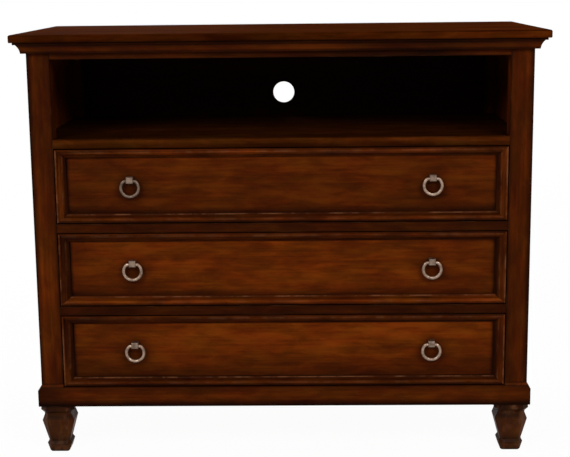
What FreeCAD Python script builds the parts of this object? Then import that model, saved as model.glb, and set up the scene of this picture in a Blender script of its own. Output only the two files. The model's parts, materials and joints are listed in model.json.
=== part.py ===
import FreeCAD, Part
import math
import os

from FreeCAD import Base

# Media chest in stained wood: three drawers under an open compartment, on four block feet.
# Millimetres. X runs along the front, the front faces -Y, Z is up.
# The origin is on the floor, under the middle of the chest.

# Overall
width = 1232.0
depth = 514.0
height = 1016.0
overhang = 32.0            # top board past the case, at the front and the sides
overrun = 1.0              # how far a cutting tool passes a face

# Top board and the crown moulding under it
top_thick = 18.0
top_upper_round = 4.0
top_lower_round = 2.5
crown_high = 25.5
crown_proud = 25.0         # fillet, past the case
crown_fillet_high = 5.0
crown_step = 5.0           # fillet to cove
crown_foot_proud = 10.5    # cove's lower lip, past the case
crown_cove_sag = 2.0       # how hollow the cove is

# Case frame
front_post_wide = 53.0
front_post_deep = 45.0
rear_post_wide = 40.0
rear_post_deep = 30.0
side_rail_thick = 22.0
side_rail_high = 80.0
panel_thick = 10.0
panel_recess = 7.0         # side panel's face behind the rails' faces
panel_tongue = 8.0         # panel edge housed in its groove
top_rail_thick = 22.0
top_rail_show = 14.5       # top rail seen below the crown moulding
compartment_high = 186.5   # open height between the shelf and the top rail
divider_thick = 22.0
shelf_thick = 22.0
shelf_nose_round = 1.5
back_thick = 6.0
back_lap = 8.0             # back panel over the rebate in each rear post
back_rail_high = 60.0
cable_hole_radius = 28.5
cable_hole_rise = 61.0     # hole's centre above the shelf

# Base moulding and feet
foot_high = 122.0
foot_half = 41.0           # widest half width of a foot
foot_inset = 1.5           # foot's widest point behind the base moulding's face
foot_back_inset = 1.5      # rear foot's widest point in front of the chest's back
base_face_high = 40.0
base_bevel_high = 13.0
base_proud = 8.0
base_rail_thick = 28.0
base_back_thick = 22.0
cap_thick = 6.5            # strip over the side rails, which carries the posts
block_side = 90.0
glide_thick = 2.0
glide_inset = 1.5          # glide's outline inside the foot's sole
bolt_radius = 4.0
bolt_in_foot = 42.0
bolt_cover = 4.5           # corner block above the bolt's end
bolt_gap = 0.1

# Drawers
drawer_count = 3
reveal = 2.0               # gap round each drawer front
front_thick = 20.0
front_recess = 12.0        # drawer's flat field behind the posts' faces
border_side_wide = 26.0    # upright strips of the moulded border
border_rail_wide = 21.5    # its level strips, above and below the field
border_proud = 1.0         # moulded border past the posts' faces
border_cove_sag = 1.9      # how hollow the border's cove is
side_thick = 12.0
side_drop = 24.6           # drawer side's upper edge below the front's
box_room = 34.0            # room between a drawer box and the rear posts
tail_count = 4
tail_flare = 1.7           # slope of each side of a tail, over the board's thickness
tail_root_share = 0.56     # narrow end of a tail, of its pitch
bottom_thick = 6.0
bottom_rise = 10.0
groove_deep = 6.0
run_gap = 0.4              # drawer to runner, guide and stop

# Runners, guides and stops
runner_wide = 32.0         # runner under and inside a drawer side
runner_thick = 22.0
guide_high = 25.0
stop_high = 20.0

# Ring pulls
pull_inset = 174.0         # pull's middle from the end of the drawer's front
ring_radius = 21.0         # to the middle of the wire
wire_radius = 4.0
ring_shoulder_share = 0.357    # bend beside the straight top, of the ring's radius
ring_flat_spare = 2.06     # straight top past each side of its boss
ring_drop = 4.3            # ring's centre below the drawer's centre
ring_steps = 16            # flats along the round of the ring
shoulder_steps = 2         # flats along each bend
wire_sides = 10            # flats round the wire
pin_gap = 0.06             # ring's straight top in the bore of its boss
boss_wide = 16.0
boss_up = 9.5              # boss above the bore's centre
boss_down = 5.6
boss_front = 6.0           # boss in front of the bore's centre
boss_standoff = 10.0       # bore's centre in front of the drawer's field
boss_chamfer = 1.2
screw_radius = 2.0
screw_end_wall = 1.34      # metal between the screw's end and the boss's bore
screw_head_radius = 4.2
screw_head_thick = 2.6
screw_gap = 0.1

# Profile of a drawer's border: widths are shares of its width, heights of its thickness
bead_share = 0.18          # outer bead
bead_spring_share = 0.87   # height where the bead's round begins
quirk_share = 0.054        # narrow groove beside the bead
band_high_share = 0.88     # flat band
band_end_share = 0.62
cove_end_share = 0.94
lip_share = 0.16           # height of the small lip at the field

# Places worked out from the sizes
case_half = width / 2 - overhang
front_y = -depth / 2 + overhang
back_y = depth / 2
post_back_y = front_y + front_post_deep
rear_face_y = back_y - rear_post_deep
opening_half = case_half - front_post_wide
base_half = case_half + base_proud
base_front_y = front_y - base_proud
under_top = height - top_thick
post_foot = foot_high + base_face_high + base_bevel_high
sill = post_foot - cap_thick
crown_low = under_top - crown_high
top_rail_low = crown_low - top_rail_show
shelf_top = top_rail_low - compartment_high
shelf_low = shelf_top - shelf_thick
level_step = (shelf_low - sill + divider_thick) / drawer_count
drawer_high = level_step - divider_thick - 2 * reveal
side_high = drawer_high + reveal - side_drop - run_gap
rail_inner = case_half - side_rail_thick
panel_inner = case_half - panel_recess - panel_thick
front_half = opening_half - reveal
field_y = front_y + front_recess
front_back_y = field_y + front_thick
box_back_y = rear_face_y - box_room
guide_face = front_half + run_gap
panel_low = post_foot + side_rail_high
panel_high = under_top - side_rail_high
foot_x = base_half - foot_inset - foot_half
foot_front_y = base_front_y + foot_inset + foot_half
foot_rear_y = back_y - foot_back_inset - foot_half
cable_hole_z = shelf_top + cable_hole_rise
block_top = sill - runner_thick
pull_x = front_half - pull_inset
pin_y = field_y - boss_standoff
ring_shoulder = ring_radius * ring_shoulder_share
shoulder_reach = ring_radius - ring_shoulder
shoulder_x = boss_wide / 2 + ring_flat_spare
shoulder_rise = math.sqrt(shoulder_reach ** 2 - shoulder_x ** 2)
ring_flat_rise = shoulder_rise + ring_shoulder
screw_in_boss = boss_standoff - wire_radius - pin_gap - screw_end_wall


def vec(x, y, z):
    return Base.Vector(x, y, z)


def block(x0, x1, y0, y1, z0, z1):
    """A box between two corners."""
    return Part.makeBox(x1 - x0, y1 - y0, z1 - z0, vec(x0, y0, z0))


def both_sides(make):
    """The same solid at the left and the right; make takes -1 or 1."""
    return [make(-1), make(1)]


def side_block(side, x0, x1, y0, y1, z0, z1):
    """A box given by its distances from the middle, at the left or the right."""
    if side < 0:
        return block(-x1, -x0, y0, y1, z0, z1)
    return block(x0, x1, y0, y1, z0, z1)


def save(name, solids):
    """One file for each named piece, or for a group of like pieces."""
    shape = solids if isinstance(solids, Part.Shape) else Part.makeCompound(list(solids))
    for solid in shape.Solids:
        if not solid.isValid() or solid.Volume <= 0:
            raise ValueError("bad solid in " + name)
    shape.exportStep("parts/" + name + ".step")


def outline(steps):
    """A closed face from points and arcs. Each step is an end point, or a middle and an end point."""
    edges = []
    here = steps[0][-1]
    for step in steps[1:] + [steps[0]]:
        if len(step) == 2:
            edges.append(Part.Arc(here, step[0], step[1]).toShape())
        elif (step[-1] - here).Length > 0:
            edges.append(Part.LineSegment(here, step[-1]).toShape())
        here = step[-1]
    return Part.Face(Part.Wire(edges))


def frame_bar(profile, outer_long, wide, tall, mitre_start, mitre_end, meets_wide=None):
    """A bar of a mitred frame, along X, outer edge on y=0, width towards +Y.

    The profile is a face in the YZ plane. A mitred end slopes in by the width of the bar that it
    meets, which is as wide as this one unless meets_wide says otherwise."""
    half = outer_long / 2
    slope = (meets_wide or wide) / wide
    bar = profile.extrude(vec(outer_long, 0, 0))
    bar.translate(vec(-half, 0, 0))
    reach = wide + overrun
    low = -tall - overrun
    for end, cut in ((-1, mitre_start), (1, mitre_end)):
        if cut:
            past = end * (half + overrun * slope)
            corner = [vec(past, -overrun, low), vec(past, reach, low),
                      vec(end * (half - reach * slope), reach, low), vec(past, -overrun, low)]
            wedge = Part.Face(Part.makePolygon(corner)).extrude(vec(0, 0, 2 * (tall + overrun)))
            bar = bar.cut(wedge)
    return bar.Solids[0]


def bulge(start, end, sag):
    """Middle point of an arc in the YZ plane that bows to the left of its chord."""
    along = (end - start).normalize()
    return (start + end) * 0.5 + vec(0, -along.z, along.y) * sag


def plated(rings, endless=False):
    """A solid of flat faces between rings of points. An endless one joins its last ring to its first."""
    count = len(rings[0])
    pairs = list(zip(rings, rings[1:]))
    faces = []
    if endless:
        pairs.append((rings[-1], rings[0]))
    else:
        faces = [Part.Face(Part.makePolygon(ring + ring[:1])) for ring in (rings[0], rings[-1])]
    for near, far in pairs:
        for k in range(count):
            n = (k + 1) % count
            faces.append(Part.Face(Part.makePolygon([near[k], near[n], far[n], far[k], near[k]])))
    solid = Part.Solid(Part.makeShell(faces))
    if solid.Volume < 0:
        solid.reverse()
    return solid


def turned(shape, turns, axis, move):
    """A copy turned by quarter turns about an axis through the origin, then moved."""
    copy = shape.copy()
    copy.rotate(vec(0, 0, 0), axis, turns * 90)
    copy.translate(move)
    return copy


# Top board and crown moulding

def top_board():
    """Board with its front and side edges softened; the back edge stays square."""
    board = block(-width / 2, width / 2, -depth / 2, back_y, under_top, height)
    for level, radius in ((height, top_upper_round), (under_top, top_lower_round)):
        edges = []
        for edge in board.Edges:
            box = edge.BoundBox
            at_level = box.ZLength < overrun and abs(box.ZMin - level) < overrun
            if at_level and (box.YLength > overrun or box.YMax < 0):
                edges.append(edge)
        board = board.makeFillet(radius, edges)
    return board


def crown_profile():
    """Fillet above, hollow below, drawn from the outermost face inwards."""
    low = vec(0, crown_proud - crown_foot_proud, 0)
    high = vec(0, crown_step, crown_high - crown_fillet_high)
    return outline([
        [low],
        [bulge(low, high, -crown_cove_sag), high],
        [vec(0, 0, high.z)],
        [vec(0, 0, crown_high)],
        [vec(0, crown_proud, crown_high)],
        [vec(0, crown_proud, 0)],
    ])


def crown():
    profile = crown_profile()
    front_long = 2 * (case_half + crown_proud)
    front = frame_bar(profile, front_long, crown_proud, crown_high, True, True)
    front.translate(vec(0, front_y - crown_proud, crown_low))
    side_long = back_y - front_y + crown_proud
    middle_y = (back_y + front_y - crown_proud) / 2
    right = frame_bar(profile, side_long, crown_proud, crown_high, True, False)
    left = frame_bar(profile, side_long, crown_proud, crown_high, False, True)
    spin = vec(0, 0, 1)
    right = turned(right, 1, spin, vec(case_half + crown_proud, middle_y, crown_low))
    left = turned(left, 3, spin, vec(-case_half - crown_proud, middle_y, crown_low))
    return front, [left, right]


# Case

def front_post(side):
    post = side_block(side, opening_half, case_half, front_y, post_back_y, post_foot, under_top)
    groove = side_block(side, panel_inner, panel_inner + panel_thick, post_back_y - panel_tongue,
                        post_back_y + overrun, panel_low - panel_tongue, panel_high + panel_tongue)
    return post.cut(groove).Solids[0]


def rear_post(side):
    inner = case_half - rear_post_wide
    post = side_block(side, inner, case_half, rear_face_y, back_y, post_foot, under_top)
    groove = side_block(side, panel_inner, panel_inner + panel_thick, rear_face_y - overrun,
                        rear_face_y + panel_tongue, panel_low - panel_tongue, panel_high + panel_tongue)
    rebate = side_block(side, inner - overrun, inner + back_lap, back_y - back_thick, back_y + overrun,
                        post_foot - overrun, under_top + overrun)
    return post.cut(groove).cut(rebate).Solids[0]


def side_rails(side):
    rails = []
    for low, edge in ((panel_high, 1), (post_foot, -1)):
        rail = side_block(side, rail_inner, case_half, post_back_y, rear_face_y, low, low + side_rail_high)
        lip = low if edge > 0 else low + side_rail_high
        groove = side_block(side, panel_inner, panel_inner + panel_thick, post_back_y - overrun,
                            rear_face_y + overrun, min(lip, lip + edge * panel_tongue),
                            max(lip, lip + edge * panel_tongue))
        rails.append(rail.cut(groove).Solids[0])
    return rails


def side_panel(side):
    return side_block(side, panel_inner, panel_inner + panel_thick, post_back_y - panel_tongue,
                      rear_face_y + panel_tongue, panel_low - panel_tongue, panel_high + panel_tongue)


def level_top(number):
    """Surface that drawer number runs on, counted from the top."""
    return sill + (drawer_count - number) * level_step


def divider_rail(number):
    top = level_top(number)
    return block(-opening_half, opening_half, front_y, post_back_y, top - divider_thick, top)


def back_rails():
    reach = case_half - rear_post_wide
    rails = [block(-reach, reach, rear_face_y, back_y - back_thick, under_top - back_rail_high, under_top)]
    for number in range(1, drawer_count):
        top = level_top(number)
        rails.append(block(-reach, reach, rear_face_y, back_y - back_thick, top - divider_thick, top))
    return rails


def compartment_shelf():
    """Board notched round the four posts, with a softened front edge."""
    reach = case_half - rear_post_wide
    nose = block(-opening_half, opening_half, front_y, post_back_y, shelf_low, shelf_top)
    edges = [e for e in nose.Edges if e.BoundBox.YMax < front_y + overrun and e.BoundBox.XLength > overrun]
    nose = nose.makeFillet(shelf_nose_round, edges)
    middle = block(-panel_inner, panel_inner, post_back_y, rear_face_y, shelf_low, shelf_top)
    tail = block(-reach, reach, rear_face_y, back_y - back_thick, shelf_low, shelf_top)
    return nose.fuse([middle, tail]).removeSplitter().Solids[0]


def back_panels():
    reach = case_half - rear_post_wide + back_lap
    joint = (shelf_low + shelf_top) / 2
    inner = back_y - back_thick
    upper = block(-reach, reach, inner, back_y, joint, under_top)
    hole = Part.makeCylinder(cable_hole_radius, back_thick + 2 * overrun,
                             vec(0, inner - overrun, cable_hole_z), vec(0, 1, 0))
    lower = block(-reach, reach, inner, back_y, post_foot, joint)
    return upper.cut(hole).Solids[0], lower


# Base moulding and feet

def base_profile():
    """Upright face, then a bevel that stops at the sill."""
    bevel_run = base_proud * (base_bevel_high - cap_thick) / base_bevel_high
    return outline([
        [vec(0, 0, 0)],
        [vec(0, base_rail_thick, 0)],
        [vec(0, base_rail_thick, sill - foot_high)],
        [vec(0, bevel_run, sill - foot_high)],
        [vec(0, 0, base_face_high)],
    ])


def base_rails():
    profile = base_profile()
    high = sill - foot_high
    front = frame_bar(profile, 2 * base_half, base_rail_thick, high, True, True)
    front.translate(vec(0, base_front_y, foot_high))
    side_long = back_y - base_front_y
    middle_y = (back_y + base_front_y) / 2
    right = frame_bar(profile, side_long, base_rail_thick, high, True, False)
    left = frame_bar(profile, side_long, base_rail_thick, high, False, True)
    spin = vec(0, 0, 1)
    right = turned(right, 1, spin, vec(base_half, middle_y, foot_high))
    left = turned(left, 3, spin, vec(-base_half, middle_y, foot_high))
    inner = base_half - base_rail_thick
    back = block(-inner, inner, back_y - base_back_thick, back_y, foot_high, sill)
    lip = block(-opening_half, opening_half, back_y - base_back_thick, back_y, sill, post_foot)
    return front, left, right, back.fuse(lip).removeSplitter().Solids[0]


def base_cap(side):
    """Strip that carries the posts of one side, bevelled outside and at its front end."""
    run = base_proud * cap_thick / base_bevel_high
    low = [vec(opening_half, front_y - run, sill), vec(case_half + run, front_y - run, sill),
           vec(case_half + run, back_y, sill), vec(opening_half, back_y, sill)]
    high = [vec(opening_half, front_y, post_foot), vec(case_half, front_y, post_foot),
            vec(case_half, back_y, post_foot), vec(opening_half, back_y, post_foot)]
    return plated([[vec(side * p.x, p.y, p.z) for p in ring] for ring in (low, high)])


# Height, half width and clipped corner of a foot, as shares of its height and its widest half width
foot_shares = [
    (0.0, 0.573, 0.08),
    (0.165, 0.735, 0.26),
    (0.22, 0.605, 0.12),
    (0.66, 0.955, 0.37),
    (0.795, 0.795, 0.19),
    (0.835, 0.795, 0.19),
    (0.90, 1.0, 0.37),
    (0.96, 0.98, 0.36),
    (1.0, 0.94, 0.34),
]


def clipped_square(x, y, z, half, clip):
    near = half - clip
    corners = ((half, -near), (half, near), (near, half), (-near, half),
               (-half, near), (-half, -near), (-near, -half), (near, -half))
    return [vec(x + a, y + b, z) for a, b in corners]


def foot(x, y):
    """Square block foot with clipped corners: flared toe, tapered shaft, necked cap."""
    levels = []
    for rise_share, half_share, clip_share in foot_shares:
        z = glide_thick + rise_share * (foot_high - glide_thick)
        levels.append(clipped_square(x, y, z, half_share * foot_half, clip_share * foot_half))
    bore_start = vec(x, y, foot_high - bolt_in_foot)
    bore = Part.makeCylinder(bolt_radius + bolt_gap, bolt_in_foot + overrun, bore_start)
    return plated(levels).cut(bore).Solids[0]


def foot_places():
    return [("front_left", -foot_x, foot_front_y), ("front_right", foot_x, foot_front_y),
            ("rear_left", -foot_x, foot_rear_y), ("rear_right", foot_x, foot_rear_y)]


def foot_bolt(x, y):
    """Headless bolt, screwed into the foot and up through the corner block."""
    low = foot_high - bolt_in_foot
    return Part.makeCylinder(bolt_radius, block_top - bolt_cover - low, vec(x, y, low))


def foot_glide(x, y):
    """Pad under the foot, cut to the outline of its sole."""
    rise_share, half_share, clip_share = foot_shares[0]
    half = half_share * foot_half - glide_inset
    return plated([clipped_square(x, y, z, half, clip_share * foot_half) for z in (0, glide_thick)])


def corner_block(x, y):
    """Block in a corner of the base, with the hole that takes the foot's bolt."""
    inner = base_half - base_rail_thick
    if y < 0:
        y0 = base_front_y + base_rail_thick
        y1 = y0 + block_side
    else:
        y1 = back_y - base_back_thick
        y0 = y1 - block_side
    side = -1 if x < 0 else 1
    body = side_block(side, inner - block_side, inner, y0, y1, foot_high, block_top)
    hole = Part.makeCylinder(bolt_radius + bolt_gap, block_top - foot_high + 2 * overrun,
                             vec(x, y, foot_high - overrun))
    return body.cut(hole).Solids[0]


# Runners, guides and stops

def runner(number, side):
    top = level_top(number)
    if number == drawer_count:
        outer = base_half - base_rail_thick
        y0 = base_front_y + base_rail_thick
        y1 = back_y - base_back_thick
    else:
        outer = rail_inner
        y0 = post_back_y
        y1 = rear_face_y
    return side_block(side, front_half - runner_wide, outer, y0, y1, top - runner_thick, top)


def guide(number, side):
    low = post_foot if number == drawer_count else level_top(number)
    return side_block(side, guide_face, rail_inner, post_back_y, rear_face_y, low, low + guide_high)


def stop(number, side):
    """Block behind a drawer side, which ends the drawer's way in."""
    top = level_top(number)
    return side_block(side, front_half - side_thick, front_half, box_back_y + run_gap, rear_face_y,
                      top, top + stop_high)


# Drawers

def drawer_low(number):
    """Lower edge of a drawer's front."""
    return level_top(number) + reveal


def border_profile(wide):
    """Moulded border, from its outer edge inwards: bead, quirk, flat band, cove, small lip."""
    thick = front_recess + border_proud
    bead = wide * bead_share
    spring = thick * bead_spring_share
    band = thick * band_high_share
    lip = thick * lip_share
    cove_start = vec(0, wide * band_end_share, band)
    cove_end = vec(0, wide * cove_end_share, lip)
    return outline([
        [vec(0, 0, 0)],
        [vec(0, wide, 0)],
        [vec(0, wide, lip)],
        [cove_end],
        [bulge(cove_end, cove_start, border_cove_sag), cove_start],
        [vec(0, bead + wide * quirk_share, band)],
        [vec(0, bead, spring)],
        [vec(0, bead / 2, thick), vec(0, 0, spring)],
    ])


def drawer_border(number):
    """Four mitred strips round the field of a drawer front."""
    thick = front_recess + border_proud
    middle = drawer_low(number) + drawer_high / 2
    level = (2 * front_half, drawer_high / 2, border_rail_wide, border_side_wide)
    upright = (drawer_high, front_half, border_side_wide, border_rail_wide)
    strips = []
    for turn, (long, reach, wide, meets_wide) in enumerate((level, upright, level, upright)):
        bar = frame_bar(border_profile(wide), long, wide, thick, True, True, meets_wide)
        bar.translate(vec(0, -reach, 0))
        bar.rotate(vec(0, 0, 0), vec(1, 0, 0), 90)
        strips.append(turned(bar, -turn, vec(0, 1, 0), vec(0, field_y, middle)))
    return strips


def tail_gap(side, end_y, inward, z):
    """What is cut away between two tails, narrower at the board's end than at the shoulder."""
    pitch = side_high / tail_count
    shoulder = pitch * (1 - tail_root_share) / 2
    mouth = shoulder - tail_flare * (side_thick + overrun) / side_thick
    tip_y = end_y - inward * overrun
    shoulder_y = end_y + inward * side_thick
    x = side * front_half - (side_thick + overrun if side > 0 else overrun)
    points = [vec(x, tip_y, z - mouth), vec(x, shoulder_y, z - shoulder),
              vec(x, shoulder_y, z + shoulder), vec(x, tip_y, z + mouth)]
    return Part.Face(Part.makePolygon(points + points[:1])).extrude(vec(side_thick + 2 * overrun, 0, 0))


def drawer_side(number, side):
    """Side of a drawer box: tails at both ends, and a groove for the bottom."""
    low = level_top(number) + run_gap
    front_end = front_back_y - side_thick
    body = side_block(side, front_half - side_thick, front_half, front_end, box_back_y, low, low + side_high)
    body = body.cut(side_block(side, front_half - side_thick - overrun, front_half - side_thick + groove_deep,
                               front_end - overrun, box_back_y + overrun,
                               low + bottom_rise, low + bottom_rise + bottom_thick))
    for index in range(tail_count + 1):
        z = low + index * side_high / tail_count
        body = body.cut(tail_gap(side, front_end, 1, z))
        body = body.cut(tail_gap(side, box_back_y, -1, z))
    return body.Solids[0]


def drawer_front(number, sides):
    """Plain board behind the border, with sockets for the tails of the sides."""
    low = drawer_low(number)
    board = block(-front_half, front_half, field_y, front_back_y, low, low + drawer_high)
    bottom_z = level_top(number) + run_gap + bottom_rise
    reach = front_half - side_thick + groove_deep
    groove = block(-reach, reach, front_back_y - groove_deep, front_back_y + overrun,
                   bottom_z, bottom_z + bottom_thick)
    board = board.cut(groove)
    for side in sides:
        board = board.cut(side)
    for side in (-1, 1):
        start = vec(side * pull_x, field_y - overrun, screw_z(number))
        hole = Part.makeCylinder(screw_radius + screw_gap, front_thick + 2 * overrun, start, vec(0, 1, 0))
        board = board.cut(hole)
    return max(board.Solids, key=lambda s: s.Volume)


def drawer_back(number, sides):
    low = level_top(number) + run_gap
    board = block(-front_half, front_half, box_back_y - side_thick, box_back_y,
                  low + bottom_rise + bottom_thick, low + side_high)
    for side in sides:
        board = board.cut(side)
    return max(board.Solids, key=lambda s: s.Volume)


def drawer_bottom(number):
    """Thin panel, held in the grooves and under the back."""
    z = level_top(number) + run_gap + bottom_rise
    reach = front_half - side_thick + groove_deep
    return block(-reach, reach, front_back_y - groove_deep, box_back_y, z, z + bottom_thick)


# Ring pulls

def ring_centre_z(number):
    return drawer_low(number) + drawer_high / 2 - ring_drop


def pin_z(number):
    return ring_centre_z(number) + ring_flat_rise


def screw_z(number):
    return pin_z(number) + (boss_up - boss_down) / 2


def pull_boss(number, side):
    """Square post that holds the ring: bored across for the ring, tapped behind for its screw."""
    x = side * pull_x
    body = block(x - boss_wide / 2, x + boss_wide / 2, pin_y - boss_front, field_y,
                 pin_z(number) - boss_down, pin_z(number) + boss_up)
    rim = [e for e in body.Edges if e.BoundBox.YMax < pin_y - boss_front + boss_chamfer]
    body = body.makeChamfer(boss_chamfer, rim)
    bore = Part.makeCylinder(wire_radius + pin_gap, boss_wide + 2 * overrun,
                             vec(x - boss_wide / 2 - overrun, pin_y, pin_z(number)), vec(1, 0, 0))
    tapped = Part.makeCylinder(screw_radius, screw_in_boss + overrun,
                               vec(x, field_y + overrun, screw_z(number)), vec(0, -1, 0))
    return body.cut(bore).cut(tapped).Solids[0]


def pull_screw(number, side):
    """Screw from inside the drawer, through its front, into the boss."""
    seat = vec(side * pull_x, front_back_y, screw_z(number))
    shank = Part.makeCylinder(screw_radius, front_thick + screw_in_boss, seat, vec(0, -1, 0))
    head = Part.makeCylinder(screw_head_radius, screw_head_thick, seat, vec(0, 1, 0))
    return shank.fuse(head).removeSplitter().Solids[0]


def wire_section(x, z, angle):
    """Points round the wire where it crosses the plane at this angle from +X."""
    points = []
    for k in range(wire_sides):
        turn = 2 * math.pi * (k + 0.5) / wire_sides
        out = wire_radius * math.cos(turn)
        points.append(vec(x + out * math.cos(angle), wire_radius * math.sin(turn), z + out * math.sin(angle)))
    return points


def arc_sections(x, z, radius, first, last, steps):
    """Sections along an arc about (x, z), from one angle to another."""
    angles = [first + (last - first) * k / steps for k in range(steps + 1)]
    return [wire_section(x + radius * math.cos(a), z + radius * math.sin(a), a) for a in angles]


def ring(number, side):
    """Round wire bent to a ring with a straight top, which is the ring's own hinge pin."""
    up = math.pi / 2
    lean = math.atan2(shoulder_rise, shoulder_x)
    far_lean = -math.pi - lean
    right = arc_sections(shoulder_x, shoulder_rise, ring_shoulder, up, lean, shoulder_steps)
    round_part = arc_sections(0, 0, ring_radius, lean, far_lean, ring_steps)
    left = arc_sections(-shoulder_x, shoulder_rise, ring_shoulder, far_lean, -3 * up, shoulder_steps)
    body = plated(right + round_part[1:] + left[1:], endless=True)
    body.translate(vec(side * pull_x, pin_y, ring_centre_z(number)))
    return body


def build():
    os.makedirs("parts", exist_ok=True)
    save("top_board", top_board())
    crown_front, crown_sides = crown()
    save("crown_front", crown_front)
    save("crown_sides", crown_sides)
    for side, name in ((-1, "left"), (1, "right")):
        save("front_post_" + name, front_post(side))
        save("rear_post_" + name, rear_post(side))
        save("side_panel_" + name, side_panel(side))
    save("side_rails", side_rails(-1) + side_rails(1))
    save("top_rail", block(-opening_half, opening_half, front_y, front_y + top_rail_thick,
                           top_rail_low, under_top))
    save("divider_rail_upper", divider_rail(1))
    save("divider_rail_lower", divider_rail(2))
    save("back_rails", back_rails())
    save("compartment_shelf", compartment_shelf())
    panel_upper, panel_lower = back_panels()
    save("back_panel_upper", panel_upper)
    save("back_panel_lower", panel_lower)
    for name, rail in zip(("front", "left", "right", "back"), base_rails()):
        save("base_rail_" + name, rail)
    save("base_caps", both_sides(base_cap))
    for name, x, y in foot_places():
        save("foot_" + name, foot(x, y))
    under_corners = (("foot_bolts", foot_bolt), ("foot_glides", foot_glide), ("corner_blocks", corner_block))
    for name, make in under_corners:
        save(name, [make(x, y) for label, x, y in foot_places()])
    levels = range(1, drawer_count + 1)
    for name, make in (("drawer_runners", runner), ("drawer_guides", guide), ("drawer_stops", stop)):
        save(name, [make(number, side) for number in levels for side in (-1, 1)])
    for number in levels:
        name = "drawer_%d_" % number
        sides = [drawer_side(number, -1), drawer_side(number, 1)]
        save(name + "sides", sides)
        save(name + "front", drawer_front(number, sides))
        save(name + "back", drawer_back(number, sides))
        save(name + "bottom", drawer_bottom(number))
        save(name + "border", drawer_border(number))
        save(name + "pull_bosses", [pull_boss(number, side) for side in (-1, 1)])
        save(name + "pull_screws", [pull_screw(number, side) for side in (-1, 1)])
        for side, label in ((-1, "left"), (1, "right")):
            save("ring_%d_%s" % (number, label), ring(number, side))


build()
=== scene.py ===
import bpy
import json
import math
import random

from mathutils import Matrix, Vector


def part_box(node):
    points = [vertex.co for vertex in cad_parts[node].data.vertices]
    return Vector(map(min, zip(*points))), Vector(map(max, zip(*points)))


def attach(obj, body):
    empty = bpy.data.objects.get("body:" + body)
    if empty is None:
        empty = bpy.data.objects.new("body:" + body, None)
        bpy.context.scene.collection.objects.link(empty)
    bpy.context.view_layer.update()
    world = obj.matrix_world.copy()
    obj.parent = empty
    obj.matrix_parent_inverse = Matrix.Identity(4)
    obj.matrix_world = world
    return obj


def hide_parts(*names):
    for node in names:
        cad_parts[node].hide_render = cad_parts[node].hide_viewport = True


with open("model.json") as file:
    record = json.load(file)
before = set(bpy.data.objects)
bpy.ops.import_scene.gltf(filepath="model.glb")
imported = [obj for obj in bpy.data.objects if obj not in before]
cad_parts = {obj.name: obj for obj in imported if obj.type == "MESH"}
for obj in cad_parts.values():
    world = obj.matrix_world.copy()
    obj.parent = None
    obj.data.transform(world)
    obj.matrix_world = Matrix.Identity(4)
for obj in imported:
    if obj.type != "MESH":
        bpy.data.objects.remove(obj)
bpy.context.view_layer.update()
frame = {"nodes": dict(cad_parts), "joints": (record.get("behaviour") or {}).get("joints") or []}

nodes = frame["nodes"]
print("frame loaded:", len(nodes), "nodes")


# Camera

cameraSettings = {
    "place": (0.0597, -2.8989, 1.1360),
    "turn": (80.238, 0.633, 0.965),  # degrees
    "lens": 73.43,
    "sensor": 36.0,
    "shiftUp": -0.0877,
}


def addCamera(settings):
    camera = bpy.data.objects.new("camera", bpy.data.cameras.new("camera"))
    camera.location = settings["place"]
    camera.rotation_euler = [math.radians(a) for a in settings["turn"]]
    camera.data.lens = settings["lens"]
    camera.data.sensor_width = settings["sensor"]
    camera.data.shift_y = settings["shiftUp"]
    bpy.context.scene.collection.objects.link(camera)
    bpy.context.scene.camera = camera


addCamera(cameraSettings)
print("camera set")


# Shader helpers

alongX, alongY, upZ = 0, 1, 2
white = (1.0, 1.0, 1.0, 1.0)
grainOrder = {"x": (0, 1, 2), "y": (1, 0, 2), "z": (2, 1, 0)}  # the grain's direction first
freshWood = (2.0, 9.0)  # metres that a piece's wood is moved by, so that no two are alike


def opaque(colour):
    return (*colour, 1.0)


def setInputs(tree, node, inputs):
    # a socket is linked to the input, and any other value is written on it
    for key, value in inputs.items():
        if isinstance(value, bpy.types.NodeSocket):
            tree.links.new(value, node.inputs[key])
        else:
            node.inputs[key].default_value = value


def addNode(tree, kind, inputs=None, **settings):
    made = tree.nodes.new("ShaderNode" + kind)
    for name, value in settings.items():
        setattr(made, name, value)
    setInputs(tree, made, inputs or {})
    return made


def calc(tree, operation, a, b=0.0, clamp=False):
    return addNode(tree, "Math", {0: a, 1: b}, operation=operation, use_clamp=clamp).outputs[0]


def plus(tree, a, b):
    return calc(tree, "ADD", a, b)


def minus(tree, a, b, clamp=False):
    return calc(tree, "SUBTRACT", a, b, clamp)


def times(tree, a, b):
    return calc(tree, "MULTIPLY", a, b)


def over(tree, a, b):
    return calc(tree, "DIVIDE", a, b)


def weigh(tree, layers, mix):
    # the sum of the layers that the mix names, each times its share
    total = None
    for kind, share in mix.items():
        part = times(tree, layers[kind], share)
        total = part if total is None else plus(tree, total, part)
    return total


def noise(tree, vector, stretched=None, scale=1.0, detail=2.0, rough=0.5, bend=0.0):
    if stretched:
        vector = addNode(tree, "VectorMath", {0: vector, 1: stretched},
                         operation="MULTIPLY").outputs[0]
    return addNode(tree, "TexNoise", {"Vector": vector, "Scale": scale, "Detail": detail,
                                      "Roughness": rough, "Distortion": bend}).outputs[0]


def between(tree, value, limits, out=(0.0, 1.0)):
    # a smooth step between the two numbers of out, while the value crosses the limits
    return addNode(tree, "MapRange", {"Value": value, "From Min": limits[0], "From Max": limits[1],
                                      "To Min": out[0], "To Max": out[1]},
                   interpolation_type="SMOOTHSTEP").outputs[0]


def portion(tree, value, low, high):
    # 0 at low, 1 at high, and straight between them
    return addNode(tree, "MapRange", {"Value": value, "From Min": low, "From Max": high}).outputs[0]


def blend(tree, share, first, second, how="MIX"):
    return addNode(tree, "Mix", {0: share, 6: first, 7: second}, data_type="RGBA",
                   blend_type=how).outputs[2]


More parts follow.
